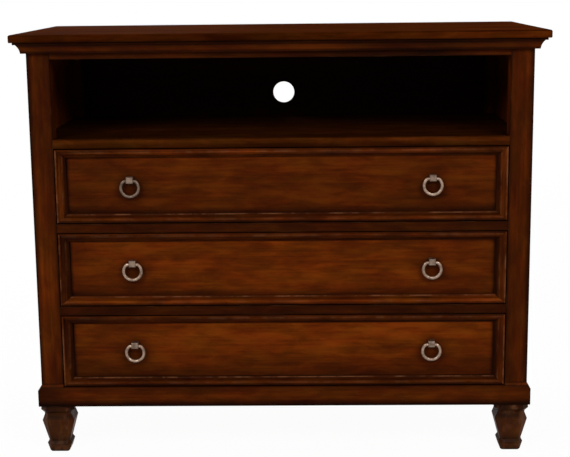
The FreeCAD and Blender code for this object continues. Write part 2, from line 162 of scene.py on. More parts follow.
def shaded(tree, colour, tone):
    return blend(tree, 1.0, colour, tone, "MULTIPLY")


def ramp(tree, value, stops):
    made = addNode(tree, "ValToRGB", {0: value})
    band = made.color_ramp
    while len(band.elements) < len(stops):
        band.elements.new(0.5)    # moved to its place below
    for element, (place, colour) in zip(band.elements, stops):
        element.position = place
        element.color = opaque(colour)
    return made.outputs[0]


def toneRamp(tree, value, stops):
    # tone along a value, from pairs of place and tone
    most = max(tone for place, tone in stops)
    shares = [(place, (tone / most,) * 3) for place, tone in stops]
    return times(tree, ramp(tree, value, shares), most)


def toneWhere(tree, mask, tone):
    # the tone where the mask is 1, and no change where it is 0
    return plus(tree, times(tree, mask, minus(tree, tone, 1.0)), 1.0)


def addBump(tree, shader, height, strength, deep):
    bump = addNode(tree, "Bump", {"Strength": strength, "Distance": deep, "Height": height})
    tree.links.new(bump.outputs[0], shader.inputs["Normal"])


def newMaterial(name):
    material = bpy.data.materials.new(name)
    material.use_nodes = True
    tree = material.node_tree
    return material, tree, tree.nodes["Principled BSDF"]


def objectPlace(tree):
    return addNode(tree, "TexCoord").outputs["Object"]


def axes(tree, vector):
    return addNode(tree, "SeparateXYZ", {0: vector}).outputs


def distanceInside(tree, value, middle, half):
    # how far inside a pair of planes the point lies
    away = calc(tree, "ABSOLUTE", minus(tree, value, middle))
    return minus(tree, half, away)


def grainSpace(tree, parts, grain, seed):
    shift = random.Random(seed).uniform
    moved = [plus(tree, parts[axis], shift(*freshWood)) for axis in grainOrder[grain]]
    return addNode(tree, "CombineXYZ", dict(enumerate(moved))).outputs[0]


# Wood: layers of noise stretched along the grain

woodLayers = {
    "figure": {"stretched": (2.6, 17.0, 17.0), "detail": 3.0, "rough": 0.55, "bend": 0.4},
    "cloud": {"stretched": (13.0, 44.0, 44.0), "detail": 4.0, "rough": 0.6, "bend": 0.4},
    "streak": {"stretched": (6.0, 190.0, 190.0), "detail": 3.0, "rough": 0.6, "bend": 0.1},
    "fibre": {"stretched": (26.0, 1300.0, 1300.0)},
}

woodFinish = {
    "roughMix": {"cloud": 1.0, "streak": 0.5},
    "roughLimits": (0.45, 1.0),
    "smoother": 0.07,         # least roughness under the wood's own, and most above it
    "rougher": 0.10,
    "heightMix": {"fibre": 0.6, "streak": 0.4},
    "bumpDeep": 0.0004,
}


def woodNoise(tree, space, mix):
    # the layers that this wood uses, and the mix of them that its colour follows
    used = {*mix, *woodFinish["roughMix"], *woodFinish["heightMix"]}
    layers = {kind: noise(tree, space, **sets) for kind, sets in woodLayers.items() if kind in used}
    return layers, weigh(tree, layers, mix)


def woodRamp(tree, mixed, sets, tone=1.0, lean=(1.0, 1.0, 1.0)):
    shades = [[tone * c * l for c, l in zip(sets[name], lean)]
              for name in ("dark", "middle", "light")]
    return ramp(tree, between(tree, mixed, sets["spread"]), list(zip((0.0, 0.5, 1.0), shades)))


def finishWood(tree, shader, colour, sets, layers):
    rough = between(tree, weigh(tree, layers, woodFinish["roughMix"]), woodFinish["roughLimits"],
                    (sets["roughness"] - woodFinish["smoother"],
                     sets["roughness"] + woodFinish["rougher"]))
    setInputs(tree, shader, {"Base Color": colour, "Roughness": rough,
                             "Specular IOR Level": sets["shine"]})
    height = weigh(tree, layers, woodFinish["heightMix"])
    addBump(tree, shader, height, sets["bump"], woodFinish["bumpDeep"])


# Stained wood

stain = {
    "dark": (0.040, 0.0066, 0.0003),
    "middle": (0.074, 0.0132, 0.0006),
    "light": (0.116, 0.0230, 0.0014),
    "mix": {"figure": 0.36, "cloud": 0.42, "streak": 0.22},
    "spread": (0.33, 0.67),       # the mix runs from dark to light between these
    "red": (1.0, 0.84, 0.80),     # the stain leans to red in places, and to olive in others
    "olive": (0.93, 1.0, 0.80),
    "leanPatch": {"stretched": (9.0, 30.0, 30.0), "detail": 3.0, "rough": 0.6},
    "leanLimits": (0.38, 0.62),
    "pores": (0.30, 0.48),
    "poreTones": (0.80, 1.0),
    # a near-black colour for edge glazing with painted shade, and a light one for wear with a
    # painted highlight
    "glazeAndShade": (0.0090, 0.0024, 0.0003),
    "wearAndHighlight": (0.175, 0.066, 0.028),
}

edgeShadeAndWear = {
    # edge glazing with painted shade, and edge wear with a painted highlight
    "glazeShadePatch": {"stretched": (9.0, 40.0, 40.0), "detail": 3.0, "rough": 0.6},
    "glazeShadeLimits": (0.30, 0.70),
    "glazeShadeReach": (0.5, 1.3),     # times the board's glazeShadeWide
    "wearHighlightPatch": {"stretched": (14.0, 30.0, 30.0), "detail": 3.0, "rough": 0.65},
    "wearHighlightLimits": (0.50, 0.66),
}

boardDefaults = {
    "tone": 0.80,
    "lean": (1.0, 1.0, 1.0),
    # how wide and strong the edge glazing with painted shade is, and the wear with a painted
    # highlight
    "glazeShadeWide": 0.0045,
    "glazeShadeMost": 0.75,
    "wearHighlightWide": 0.0011,
    "wearHighlightMost": 0.35,
    "roughness": 0.54,
    "shine": 0.02,
    "bump": 0.22,
}


def edgeMasks(tree, parts, box, space, glazeShadeWide, wearHighlightWide):
    # dark glazing with painted shade near the long edges of a board, and small places of wear with
    # a painted highlight right on them; the edge is near where the two smaller gaps to the board's
    # faces add up to little
    gaps = [distanceInside(tree, value, (low + high) / 2, (high - low) / 2)
            for value, low, high in zip(parts, *box)]
    total = plus(tree, plus(tree, gaps[0], gaps[1]), gaps[2])
    widest = calc(tree, "MAXIMUM", calc(tree, "MAXIMUM", gaps[0], gaps[1]), gaps[2])
    edge = minus(tree, total, widest)
    patch = noise(tree, space, **edgeShadeAndWear["glazeShadePatch"])
    reach = between(tree, patch, edgeShadeAndWear["glazeShadeLimits"], edgeShadeAndWear["glazeShadeReach"])
    glazedAndShaded = minus(tree, 1.0, over(tree, edge, times(tree, reach, glazeShadeWide)), clamp=True)
    rubHighlight = between(tree, noise(tree, space, **edgeShadeAndWear["wearHighlightPatch"]), edgeShadeAndWear["wearHighlightLimits"])
    onEdge = minus(tree, 1.0, over(tree, edge, wearHighlightWide), clamp=True)
    return glazedAndShaded, times(tree, onEdge, rubHighlight)


def stainColour(tree, space, mixed, fibre, tone=1.0, lean=(1.0, 1.0, 1.0)):
    patch = noise(tree, space, **stain["leanPatch"])
    leaning = ramp(tree, patch, list(zip(stain["leanLimits"], (stain["red"], stain["olive"]))))
    colour = shaded(tree, woodRamp(tree, mixed, stain, tone, lean), leaning)
    return shaded(tree, colour, between(tree, fibre, stain["pores"], stain["poreTones"]))


def stainedWood(name, grain, seed, box, sets, shades):
    material, tree, shader = newMaterial(name)
    parts = axes(tree, objectPlace(tree))
    space = grainSpace(tree, parts, grain, seed)
    layers, mixed = woodNoise(tree, space, stain["mix"])
    colour = stainColour(tree, space, mixed, layers["fibre"], sets["tone"], sets["lean"])
    for shade in shades:
        colour = shaded(tree, colour, shade(tree, parts, space))
    # edge glazing with painted shade darkens, and wear with a painted highlight lightens
    glazedAndShaded, wearAndHighlight = edgeMasks(tree, parts, box, space, sets["glazeShadeWide"], sets["wearHighlightWide"])
    colour = blend(tree, times(tree, glazedAndShaded, sets["glazeShadeMost"]), colour, opaque(stain["glazeAndShade"]))
    colour = blend(tree, times(tree, wearAndHighlight, sets["wearHighlightMost"]), colour, opaque(stain["wearAndHighlight"]))
    finishWood(tree, shader, colour, sets, layers)
    return material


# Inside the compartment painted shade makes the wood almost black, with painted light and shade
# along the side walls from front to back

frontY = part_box("front_post_left")[0][1]
sideNodes = ("side_rails", "side_panel", "front_post", "rear_post")
insideNodes = (*sideNodes, "top_board", "top_rail", "compartment_shelf", "back_panel_upper")

compartment = {
    "begins": 0.004,          # behind the posts' front
    "fade": 0.014,
    "past": 0.0012,           # how far the shade runs into shelf and top board, and into the sides
    "sidePast": 0.0015,
    "allDepth": 1.0,          # behind the whole chest
    "tones": {                # from front to back
        "side": [(0.0, 0.74), (0.12, 1.15), (0.45, 1.60), (1.0, 0.60)],
        "shelf": [(0.0, 0.40), (0.5, 0.55), (1.0, 0.70)],
        "other": [(0.0, 0.30), (1.0, 0.30)],
    },
}


def compartmentShade(name, box):
    # painted shade: side nodes darken on their inner faces only, and the back panel on its front
    isSide = name.startswith(sideNodes)
    kind = "side" if isSide else "shelf" if "shelf" in name else "other"
    begins = frontY + compartment["begins"]
    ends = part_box("back_panel_upper")[0][1]
    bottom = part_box("compartment_shelf")[1][2] - compartment["past"]
    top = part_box("top_board")[0][2] + compartment["past"]
    innerFace = min(abs(v.co.x) for v in nodes[name].data.vertices)
    inner = innerFace + compartment["sidePast"] if isSide else abs(box[1][0])
    isBack = name == "back_panel_upper"
    depth = (box[0][1] + box[1][1]) / 2 if isBack else compartment["allDepth"]

    def shade(tree, parts, space):
        deep = between(tree, parts[alongY], (begins, begins + compartment["fade"]))
        level = times(tree, calc(tree, "GREATER_THAN", parts[upZ], bottom),
                      calc(tree, "LESS_THAN", parts[upZ], top))
        beside = calc(tree, "LESS_THAN", calc(tree, "ABSOLUTE", parts[alongX]), inner)
        within = times(tree, beside, calc(tree, "LESS_THAN", parts[alongY], depth))
        back = portion(tree, parts[alongY], begins, ends)
        dark = toneRamp(tree, back, compartment["tones"][kind])
        return toneWhere(tree, times(tree, times(tree, deep, level), within), dark)

    return shade


# Boards: what differs from boardDefaults, and the tones up a board, or along it from left to
# right, as pairs of place (0 to 1) and tone. All lists of tones, here and below, were set by
# hand from brightness measured along each piece in the photo and in renders.

# These tones paint light and shade into the colour: the top board's front edge darker than its
# upper face, the crown dark at its foot and under the top board's overhang, the top rail and
# divider rails darker as in shade, the posts, shelf edge and base rails lit and shaded along them,
# and the feet up their mouldings
crownUp = [(0.0, 0.36), (0.14, 0.42), (0.27, 1.08), (0.56, 1.10), (0.72, 0.46), (1.0, 0.30)]
baseUp = [(0.0, 0.10), (0.08, 0.14), (0.135, 0.27), (0.19, 0.38), (0.25, 0.55), (0.31, 0.78),
          (0.40, 1.05), (0.62, 1.18), (0.73, 1.03), (0.84, 0.87), (0.90, 0.72), (1.0, 0.50)]

boards = {
    "top_board": {
        # the lean lifts green and blue as a painted sheen, in place of a reflection
        "tone": 0.60, "lean": (1.0, 1.12, 2.5), "roughness": 0.75, "shine": 0.0001,
        "glazeShadeWide": 0.006, "glazeShadeMost": 0.5, "wearHighlightWide": 0.0014, "wearHighlightMost": 0.25,
        "up": [(0.0, 0.74), (0.85, 0.84), (0.93, 0.92), (0.97, 1.0)],
        "edgeAlong": [(0.0, 1.0), (0.22, 0.88), (0.36, 0.66), (0.50, 0.86), (0.64, 1.02),
                      (0.74, 1.50), (0.88, 1.80), (1.0, 2.30)],
        "edgeEnds": 0.003,    # below the top
    },
    "crown_front": {
        "tone": 0.66, "glazeShadeMost": 0.3, "up": crownUp,
        "along": [(0.0, 0.98), (0.18, 0.84), (0.30, 1.0), (0.45, 1.12), (0.58, 0.98), (0.68, 0.60),
                  (0.82, 0.55), (0.93, 0.92), (1.0, 1.0)],
    },
    "crown_sides": {"tone": 0.66, "glazeShadeMost": 0.3, "up": crownUp},
    "top_rail": {
        "tone": 0.42,
        "along": [(0.0, 1.20), (0.12, 1.0), (0.34, 1.10), (0.60, 0.95), (0.72, 0.60), (0.84, 0.40),
                  (0.92, 0.95), (1.0, 1.60)],
    },
    "compartment_shelf": {
        # the lean lifts green and blue as a painted sheen, in place of a reflection
        "tone": 0.62, "lean": (1.0, 1.35, 4.0), "roughness": 0.75, "shine": 0.0001,
        "glazeShadeWide": 0.003,
        "up": [(0.0, 0.55), (0.15, 0.62), (0.40, 0.80), (0.60, 1.16), (0.90, 1.30), (1.0, 1.05)],
    },
    "divider_rail_upper": {"tone": 0.41},
    "divider_rail_lower": {"tone": 0.39},
    "front_post_left": {
        "tone": 0.56,
        "up": [(0.0, 0.92), (0.12, 1.36), (0.26, 1.62), (0.40, 1.30), (0.48, 1.10), (0.70, 1.06),
               (0.80, 0.86), (1.0, 0.90)],
    },
    "front_post_right": {
        "tone": 0.72,
        "up": [(0.0, 0.80), (0.30, 0.75), (0.42, 0.90), (0.70, 0.94), (0.80, 1.08), (1.0, 1.14)],
    },
    "base_rail_front": {
        "tone": 0.78, "up": baseUp,
        "along": [(0.0, 0.50), (0.04, 0.60), (0.075, 0.98), (0.96, 1.0), (1.0, 0.80)],
    },
    "base_rail_left": {"tone": 0.74, "up": baseUp},
    "base_rail_right": {"tone": 0.74, "up": baseUp},
    "base_rail_back": {"up": baseUp},
    "back_panel_upper": {"tone": 0.60},
    "back_panel_lower": {"tone": 0.55},
    "feet": {
        # the feet: painted light and shade up their mouldings, and a wide band of wear with a
        # painted highlight
        "tone": 0.58, "lean": (1.0, 1.3, 1.5), "roughness": 0.42, "shine": 0.045,
        "glazeShadeWide": 0.005, "wearHighlightWide": 0.06, "wearHighlightMost": 0.42,
        "up": [(0.0, 0.36), (0.05, 0.76), (0.11, 0.86), (0.15, 0.50), (0.20, 0.34), (0.25, 0.50),
               (0.30, 0.76), (0.40, 1.05), (0.52, 1.12), (0.64, 1.08), (0.68, 0.92), (0.72, 0.58),
               (0.756, 0.38), (0.79, 0.50), (0.82, 0.68), (0.865, 0.48), (0.94, 0.50), (1.0, 0.40)],
    },
}

postSettings = {
    # painted light and shade across a post's front: dark at its outer corner and inner edge, with a
    # painted highlight just inside the corner
    "across": [(0.0, 0.30), (0.07, 0.40), (0.14, 0.66), (0.22, 1.10), (0.30, 1.26), (0.44, 1.03),
               (0.75, 0.99), (0.92, 0.84), (1.0, 0.66)],      # from its outer corner
    "evensOut": (0.002, 0.012),   # behind its front, where the side face has no tones any more
}

grainY = ("crown_sides", "side_rails", "base_rail_left", "base_rail_right", "base_caps")
grainZ = ("front_post", "rear_post", "side_panel", "foot_")


def alongAxis(box, axis, tones):
    def shade(tree, parts, space):
        return toneRamp(tree, portion(tree, parts[axis], box[0][axis], box[1][axis]), tones)

    return shade


def acrossPost(box):
    outer, inner = sorted((box[0][0], box[1][0]), key=abs, reverse=True)
    evensOut = [frontY + behind for behind in postSettings["evensOut"]]

    def shade(tree, parts, space):
        # painted light and shade across the post's front face
        across = toneRamp(tree, portion(tree, parts[alongX], outer, inner), postSettings["across"])
        return blend(tree, between(tree, parts[alongY], evensOut), across, white)

    return shade


def edgeShade(box, sets):
    # painted light and shade along a board's front edge that its upper face doesn't have
    ends = box[1][2] - sets["edgeEnds"]

    def shade(tree, parts, space):
        along = alongAxis(box, alongX, sets["edgeAlong"])(tree, parts, space)
        return toneWhere(tree, calc(tree, "LESS_THAN", parts[upZ], ends), along)

    return shade


def boardShades(name, box, sets):
    shades = [acrossPost(box)] if name.startswith("front_post") else []
    if "up" in sets:
        shades.append(alongAxis(box, upZ, sets["up"]))
    if "along" in sets:
        shades.append(alongAxis(box, alongX, sets["along"]))
    if "edgeAlong" in sets:
        shades.append(edgeShade(box, sets))
    if name.startswith(insideNodes):
        shades.append(compartmentShade(name, box))
    return shades


def boardWood(name, seed, box):
    sets = dict(boardDefaults, **boards.get("feet" if name.startswith("foot_") else name, {}))
    grain = "y" if name in grainY else "z" if name.startswith(grainZ) else "x"
    return stainedWood(name + ".stained", grain, seed, box, sets, boardShades(name, box, sets))


# Clean wood of drawer boxes, and raw wood of hidden rails

plainMix = {"figure": 0.55, "streak": 0.45}
plainSpread = (0.32, 0.68)

boxWood = {
    "dark": (0.20, 0.108, 0.045),
    "middle": (0.34, 0.20, 0.092),
    "light": (0.47, 0.30, 0.155),
    "spread": plainSpread,
    "roughness": 0.50,
    "shine": 0.12,
    "bump": 0.25,
}

rawWood = {
    "dark": (0.15, 0.085, 0.040),
    "middle": (0.25, 0.15, 0.075),
    "light": (0.36, 0.24, 0.13),
    "spread": plainSpread,
    "roughness": 0.72,
    "shine": 0.15,
    "bump": 0.4,
}

plainParts = {
    "sides": ("y", boxWood),
    "back": ("x", boxWood),
    "bottom": ("x", boxWood),
    "drawer_runners": ("y", rawWood),
    "drawer_guides": ("y", rawWood),
    "drawer_stops": ("y", rawWood),
    "corner_blocks": ("x", rawWood),
    "back_rails": ("x", rawWood),
}


def plainWood(name, seed, grain, sets):
    material, tree, shader = newMaterial(name)
    parts = axes(tree, objectPlace(tree))
    layers, mixed = woodNoise(tree, grainSpace(tree, parts, grain, seed), plainMix)
    finishWood(tree, shader, woodRamp(tree, mixed, sets), sets, layers)
    return material


# Drawer fronts: the field is darker towards its lower edge, with painted shade beside the border
# and a painted shadow round each pull

drawerSettings = {
    "sideWide": 0.026,        # moulded border, its upright strips
    "railWide": 0.0215,       # and its level strips
    # each drawer's field painted lighter or darker for the light that falls on it, the top one
    # darkest
    "tones": {1: 0.82, 2: 1.28, 3: 1.38},
    "upField": {              # tones from the field's lower edge up
        1: [(0.0, 0.34), (0.04, 0.44), (0.08, 0.68), (0.14, 0.98), (0.20, 1.02), (0.55, 0.98),
            (1.0, 1.08)],
        2: [(0.0, 0.38), (0.05, 0.52), (0.11, 0.76), (0.20, 0.94), (0.35, 0.98), (0.60, 1.0),
            (1.0, 1.02)],
        3: [(0.0, 0.36), (0.06, 0.43), (0.14, 0.53), (0.24, 0.65), (0.36, 0.77), (0.48, 0.86),
            (0.60, 0.90), (0.80, 1.0)],
    },
    "alongField": {           # and from its left end to its right end
        1: [(0.0, 0.78), (0.08, 0.81), (0.24, 0.99), (1.0, 1.0)],
        2: [(0.0, 0.76), (0.08, 0.79), (0.24, 0.94), (0.37, 1.05), (0.79, 0.98), (0.94, 0.81),
            (1.0, 0.78)],
        3: [(0.0, 0.80), (0.08, 0.84), (0.24, 0.98), (0.50, 1.0), (0.79, 1.06), (0.94, 1.0),
            (1.0, 0.96)],
    },
    # painted shade along the field's sides, beside the border
    "fieldSide": [(0.0, 0.30), (0.25, 0.45), (0.6, 0.82), (1.0, 1.0)],
    "fieldSideWide": 0.010,
    "lineHigh": 0.0065,       # light line along the field's upper edge
    "line": [(0.0, 0.90), (0.30, 1.20), (0.75, 1.20), (1.0, 1.0)],
    "patch": {"stretched": (7.0, 22.0, 22.0), "detail": 3.0, "rough": 0.6},
    "patchLimits": (0.30, 0.72),
    "patchReach": (0.75, 1.25),   # times the width of each zone of tone
    # painted shadow round each pull
    "pullShadowZone": (0.019, 0.052),   # dark round each pull, gone at the second distance
    "pullShadowTones": (0.62, 1.0),
}


def pullPlaces(number):
    places = []
    for side in ("left", "right"):
        low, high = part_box("ring_%d_%s" % (number, side))
        places.append(((low[0] + high[0]) / 2, (low[2] + high[2]) / 2))
    return places


def fieldShade(number, box):
    low, high = box
    middle = (low[0] + high[0]) / 2
    halfX = (high[0] - low[0]) / 2 - drawerSettings["sideWide"]
    fieldLow = low[2] + drawerSettings["railWide"]
    fieldHigh = high[2] - drawerSettings["railWide"]
    pulls = pullPlaces(number)

    def shade(tree, parts, space):
        patch = noise(tree, space, **drawerSettings["patch"])
        reach = between(tree, patch, drawerSettings["patchLimits"], drawerSettings["patchReach"])
        up = over(tree, portion(tree, parts[upZ], fieldLow, fieldHigh), reach)
        tone = toneRamp(tree, up, drawerSettings["upField"][number])
        along = portion(tree, parts[alongX], middle - halfX, middle + halfX)
        tone = times(tree, tone, toneRamp(tree, along, drawerSettings["alongField"][number]))
        inwards = over(tree, distanceInside(tree, parts[alongX], middle, halfX),
                       drawerSettings["fieldSideWide"])
        sides = toneRamp(tree, over(tree, inwards, reach), drawerSettings["fieldSide"])
        under = over(tree, minus(tree, fieldHigh, parts[upZ]), drawerSettings["lineHigh"])
        tone = times(tree, times(tree, tone, sides), toneRamp(tree, under, drawerSettings["line"]))
        flat = addNode(tree, "CombineXYZ", {0: parts[alongX], 2: parts[upZ]}).outputs[0]
        # a painted shadow round each pull
        for x, z in pulls:
            away = addNode(tree, "VectorMath", {0: flat, 1: (x, 0.0, z)},
                           operation="DISTANCE").outputs["Value"]
            tone = times(tree, tone, between(tree, over(tree, away, reach),
                                             drawerSettings["pullShadowZone"],
                                             drawerSettings["pullShadowTones"]))
        return tone

    return shade


# Borders: painted light and shade, and how far rubbing with a painted highlight goes, run across a
# strip from its outer edge to the field; painted shade darkens the cove

borderSettings = {
    "mix": {"cloud": 0.55, "streak": 0.45},
    # each drawer's strips painted lighter or darker by how they face the light
    "tones": {
        1: {"top": 0.80, "bottom": 0.68, "side": 0.76},
        2: {"top": 0.74, "bottom": 1.16, "side": 0.60},
        3: {"top": 0.74, "bottom": 0.58, "side": 0.60},
    },
    # painted light along the top strips, less towards the right
    "topAlong": [(0.0, 0.85), (0.08, 1.15), (0.42, 1.15), (0.55, 0.78), (0.88, 0.66), (1.0, 0.55)],
    "rubAndHighlight": 0.34,
    "rubHighlightPatch": {"stretched": (20.0, 14.0, 14.0), "detail": 4.0, "rough": 0.7},
    "rubHighlightLimits": (0.42, 0.62),
    "rubHighlightShares": (0.10, 1.25),
}

# painted light and shade across each strip: dark at its outer edge and in its cove, a painted
# highlight on its bead; rubbing is wear with a painted highlight
borderStrips = {
    "top": {
        "tones": [(0.0, 0.50), (0.05, 0.66), (0.15, 1.35), (0.27, 1.70), (0.38, 1.35), (0.50, 1.0),
                  (0.62, 0.98), (0.72, 0.70), (0.94, 0.68), (1.0, 0.90)],
        "rubAndHighlight": [(0.08, 0.0), (0.20, 0.7), (0.30, 1.0), (0.42, 0.3), (0.52, 0.0)],
    },
    "bottom": {
        "tones": [(0.0, 0.12), (0.07, 0.18), (0.17, 0.60), (0.28, 1.05), (0.39, 1.30), (0.50, 1.08),
                  (0.62, 0.80), (0.73, 0.60), (0.84, 0.56), (1.0, 0.42)],
        "rubAndHighlight": [(0.20, 0.0), (0.36, 0.5), (0.50, 0.2), (0.58, 0.0), (0.78, 0.0), (0.86, 1.6),
                   (0.96, 0.0)],
    },
    "side": {
        "tones": [(0.0, 0.70), (0.06, 1.15), (0.16, 1.25), (0.25, 1.05), (0.50, 1.05), (0.62, 0.95),
                  (0.72, 0.70), (0.80, 0.45), (0.88, 0.30), (1.0, 0.27)],
        "rubAndHighlight": [(0.01, 0.0), (0.06, 1.6), (0.14, 0.8), (0.22, 0.0), (0.54, 0.0), (0.63, 0.8),
                   (0.72, 0.0)],
    },
}


def stripShares(tree, across, strips, kind, most):
    # one value for the strip that the point is on
    ramps = {strip: toneRamp(tree, across, [(place, value * most[strip])
                                            for place, value in borderStrips[strip][kind]])
             for strip in strips}
    return weigh(tree, ramps, strips)


def borderWood(name, seed, box, tones):
    # level strips have their grain along X, upright strips along Z, and they meet at the mitres
    middle = [(low + high) / 2 for low, high in zip(*box)]
    half = [(high - low) / 2 for low, high in zip(*box)]
    material, tree, shader = newMaterial(name)
    parts = axes(tree, objectPlace(tree))
    sideShare = over(tree, distanceInside(tree, parts[alongX], middle[0], half[0]),
                     drawerSettings["sideWide"])
    railShare = over(tree, distanceInside(tree, parts[upZ], middle[2], half[2]),
                     drawerSettings["railWide"])
    across = calc(tree, "MINIMUM", sideShare, railShare)
    upright = calc(tree, "LESS_THAN", sideShare, railShare)
    level = minus(tree, 1.0, upright)
    above = calc(tree, "GREATER_THAN", parts[upZ], middle[2])
    strips = {"side": upright, "top": times(tree, level, above),
              "bottom": times(tree, level, minus(tree, 1.0, above))}
    levelSpace = grainSpace(tree, parts, "x", seed)
    upSpace = grainSpace(tree, parts, "z", seed + 1)
    space = addNode(tree, "Mix", {0: upright, 4: levelSpace, 5: upSpace},
                    data_type="VECTOR").outputs[1]
    layers, mixed = woodNoise(tree, space, borderSettings["mix"])
    colour = stainColour(tree, space, mixed, layers["fibre"])
    # painted light and shade across the strips
    colour = shaded(tree, colour, stripShares(tree, across, strips, "tones", tones))
    along = alongAxis(box, alongX, borderSettings["topAlong"])(tree, parts, space)
    # painted light along the top strip, which also scales its rubbing
    fall = toneWhere(tree, strips["top"], along)
    colour = shaded(tree, colour, fall)
    patch = noise(tree, space, **borderSettings["rubHighlightPatch"])
    rubHighlight = between(tree, patch, borderSettings["rubHighlightLimits"], borderSettings["rubHighlightShares"])
    most = dict.fromkeys(strips, borderSettings["rubAndHighlight"])
    # rubbing: wear with a painted highlight
    wearAndHighlight = times(tree, stripShares(tree, across, strips, "rubAndHighlight", most), times(tree, rubHighlight, fall))
    colour = blend(tree, wearAndHighlight, colour, opaque(stain["wearAndHighlight"]))
    finishWood(tree, shader, colour, boardDefaults, layers)
    return material


# Aged nickel, plated steel and nylon

nickel = {
    "dull": (0.160, 0.106, 0.076),
    "bright": (0.345, 0.242, 0.182),
    "patina": {"scale": 95.0, "detail": 4.0, "rough": 0.65, "bend": 0.4},
    "speck": {"scale": 900.0, "detail": 3.0, "rough": 0.6},
    "mix": {"patina": 0.75, "speck": 0.25},
    "spread": (0.36, 0.62),
    "roughness": (0.60, 0.38),
    "dents": {"scale": 320.0, "detail": 3.0, "rough": 0.55},
    "bump": 0.35,
    "bumpDeep": 0.0004,
    "tones": {"pull_bosses": 0.72, "ring_1_left": 0.46},
}

steel = {
    "dark": (0.42, 0.42, 0.43),
    "light": (0.62, 0.62, 0.60),
    "scratch": {"stretched": (60.0, 900.0, 900.0)},       # fine scratches along X
    "spread": (0.3, 0.7),
    "roughness": (0.42, 0.28),
}

nylon = {
    "dark": (0.018, 0.016, 0.015),
    "light": (0.045, 0.040, 0.037),
    "grit": {"scale": 1500.0, "detail": 3.0, "rough": 0.6},
    "spread": (0.35, 0.65),
    "roughness": 0.7,
    "bump": 0.3,
    "bumpDeep": 0.0002,
}


def agedNickel(name, seed, tone):
    material, tree, shader = newMaterial(name)
    space = grainSpace(tree, axes(tree, objectPlace(tree)), "x", seed)
    layers = {kind: noise(tree, space, **nickel[kind]) for kind in nickel["mix"]}
    share = between(tree, weigh(tree, layers, nickel["mix"]), nickel["spread"])
    dull, bright = [opaque(tone * c for c in nickel[key]) for key in ("dull", "bright")]
    setInputs(tree, shader, {"Base Color": blend(tree, share, dull, bright), "Metallic": 1.0,
                             "Roughness": between(tree, share, (0.0, 1.0), nickel["roughness"])})
    addBump(tree, shader, noise(tree, space, **nickel["dents"]), nickel["bump"],
            nickel["bumpDeep"])
    return material


def platedSteel(name):
    material, tree, shader = newMaterial(name)
    scratch = noise(tree, objectPlace(tree), **steel["scratch"])
    colour = blend(tree, between(tree, scratch, steel["spread"]), opaque(steel["dark"]),
                   opaque(steel["light"]))
    rough = between(tree, scratch, steel["spread"], steel["roughness"])
    setInputs(tree, shader, {"Base Color": colour, "Roughness": rough, "Metallic": 1.0})
    return material


def nylonPad(name):
    material, tree, shader = newMaterial(name)
    grit = noise(tree, objectPlace(tree), **nylon["grit"])
    colour = blend(tree, between(tree, grit, nylon["spread"]), opaque(nylon["dark"]),
                   opaque(nylon["light"]))
    setInputs(tree, shader, {"Base Color": colour, "Roughness": nylon["roughness"]})
    addBump(tree, shader, grit, nylon["bump"], nylon["bumpDeep"])
    return material


# A material for every node; the seed gives each its own cut of wood

def drawerPart(name):
    # drawer_2_front gives 2 and front, and a piece of the case gives 0 and its name
    words = name.split("_", 2)
    if words[0] == "drawer" and words[1].isdigit():
        return int(words[1]), words[2]
    return 0, name


def nodeMaterial(name, seed):
    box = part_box(name)
    number, part = drawerPart(name)
    if name.startswith("ring") or part == "pull_bosses":
        return agedNickel(name + ".nickel", seed, nickel["tones"].get(part, 1.0))
    if part in ("pull_screws", "foot_bolts"):
        return platedSteel(name + ".steel")
    if part == "foot_glides":
        return nylonPad(name + ".nylon")
    if part in plainParts:
        return plainWood(name + ".wood", seed, *plainParts[part])
    if part == "border":
        return borderWood(name + ".stained", seed, box, borderSettings["tones"][number])
    if part == "front":
        sets = dict(boardDefaults, tone=drawerSettings["tones"][number])
        return stainedWood(name + ".stained", "x", seed, box, sets, [fieldShade(number, box)])
    return boardWood(name, seed, box)


def paintNodes():
    for seed, name in enumerate(sorted(nodes)):
        material = nodeMaterial(name, seed)
        nodes[name].data.materials.clear()
        nodes[name].data.materials.append(material)


paintNodes()
print("materials done:", len(bpy.data.materials))


# Softened edges on every board

edgeSettings = {
    "wood": 0.0007,
    "feet": 0.0011,
    "metal": 0.0004,
    "segments": 2,
    "angle": 34.0,            # degrees; flatter edges stay smooth
    "flatAngle": 0.6,         # degrees; faces this close to one plane become one
    "weld": 0.00001,          # points this near each other become one
}


def smoothShading():
    # smooth faces with sharp edges kept, as a small geometry group
    group = bpy.data.node_groups.new("smoothShading", "GeometryNodeTree")
    for direction in ("INPUT", "OUTPUT"):
        group.interface.new_socket("Geometry", in_out=direction, socket_type="NodeSocketGeometry")
    start = group.nodes.new("NodeGroupInput")
    end = group.nodes.new("NodeGroupOutput")
    faces = group.nodes.new("GeometryNodeSetShadeSmooth")
    edges = group.nodes.new("GeometryNodeSetShadeSmooth")
    edges.domain = "EDGE"
    angle = group.nodes.new("GeometryNodeInputMeshEdgeAngle")
    compare = group.nodes.new("FunctionNodeCompare")
    compare.data_type = "FLOAT"
    compare.operation = "GREATER_THAN"
    compare.inputs[1].default_value = math.radians(edgeSettings["angle"])
    edges.inputs["Shade Smooth"].default_value = False
    group.links.new(start.outputs[0], faces.inputs["Geometry"])
    group.links.new(faces.outputs[0], edges.inputs["Geometry"])
    group.links.new(angle.outputs[0], compare.inputs[0])
    group.links.new(compare.outputs[0], edges.inputs["Selection"])
    group.links.new(edges.outputs[0], end.inputs[0])
    return group


